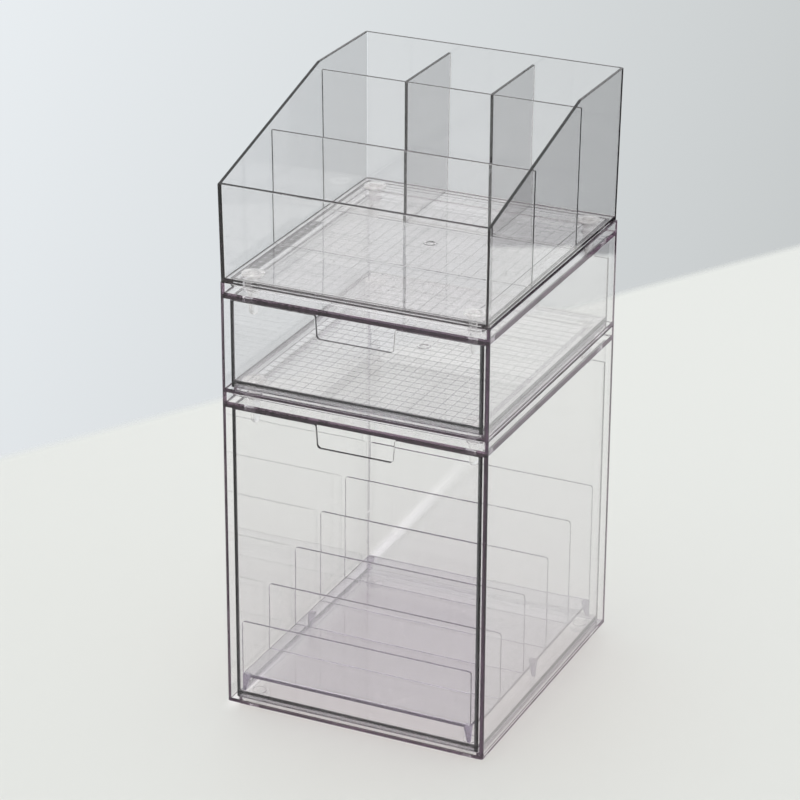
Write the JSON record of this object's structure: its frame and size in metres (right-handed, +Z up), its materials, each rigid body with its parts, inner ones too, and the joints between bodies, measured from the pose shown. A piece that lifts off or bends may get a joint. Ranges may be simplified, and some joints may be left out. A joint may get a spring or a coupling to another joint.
{
  "type": "stackable storage drawer",
  "caption": "Clear plastic desktop organiser: stacked pull-out drawer boxes with finger notches, a stepped rack inside the deep drawer, and an open compartment tray on top.",
  "frame": {"origin": "middle of the footprint of the drawer units, at the level of the surface that the feet stand on", "axes": "+Z up, -Y towards the person who opens the drawers, +X to that person's right"},
  "size_m": [0.1754, 0.203, 0.386],
  "materials": {
    "casing_clear": "clear, polished, faint purple-grey tint",
    "drawer_clear": "clear, polished",
    "rack_clear": "clear, polished",
    "tray_clear": "clear, polished, faint grey tint",
    "pin_milky": "translucent, smooth",
    "foot_milky": "translucent, soft"
  },
  "bodies": {
    "tall_unit": {"tall_casing": "casing_clear", "foot_front_left": "foot_milky", "foot_front_right": "foot_milky", "foot_back_left": "foot_milky", "foot_back_right": "foot_milky"},
    "tall_drawer": {"tall_drawer": "drawer_clear", "rack_base": "rack_clear", "rack_divider_1": "rack_clear", "rack_divider_2": "rack_clear", "rack_divider_3": "rack_clear", "rack_divider_4": "rack_clear", "rack_divider_5": "rack_clear", "rack_divider_6": "rack_clear"},
    "shallow_unit": {"shallow_casing": "casing_clear", "shallow_pin_front_left": "pin_milky", "shallow_pin_front_right": "pin_milky", "shallow_pin_back_left": "pin_milky", "shallow_pin_back_right": "pin_milky"},
    "shallow_drawer": {"shallow_drawer": "drawer_clear"},
    "tray_unit": {"tray_body": "tray_clear", "tray_front_divider": "tray_clear", "tray_rear_divider": "tray_clear", "tray_cell_divider_left": "tray_clear", "tray_cell_divider_right": "tray_clear", "tray_pin_front_left": "pin_milky", "tray_pin_front_right": "pin_milky", "tray_pin_back_left": "pin_milky", "tray_pin_back_right": "pin_milky"}
  },
  "joints": [
    {"name": "tall_drawer_slide", "type": "slide", "parent": "tall_unit", "child": "tall_drawer", "axis": [0, -1, 0], "range_m": [0, 0.15]},
    {"name": "shallow_unit_lift", "type": "slide", "parent": "tall_unit", "child": "shallow_unit", "axis": [0, 0, 1], "range_m": [0, 0.05]},
    {"name": "shallow_drawer_slide", "type": "slide", "parent": "shallow_unit", "child": "shallow_drawer", "axis": [0, -1, 0], "range_m": [0, 0.15]},
    {"name": "tray_lift", "type": "slide", "parent": "shallow_unit", "child": "tray_unit", "axis": [0, 0, 1], "range_m": [0, 0.05]}
  ]
}
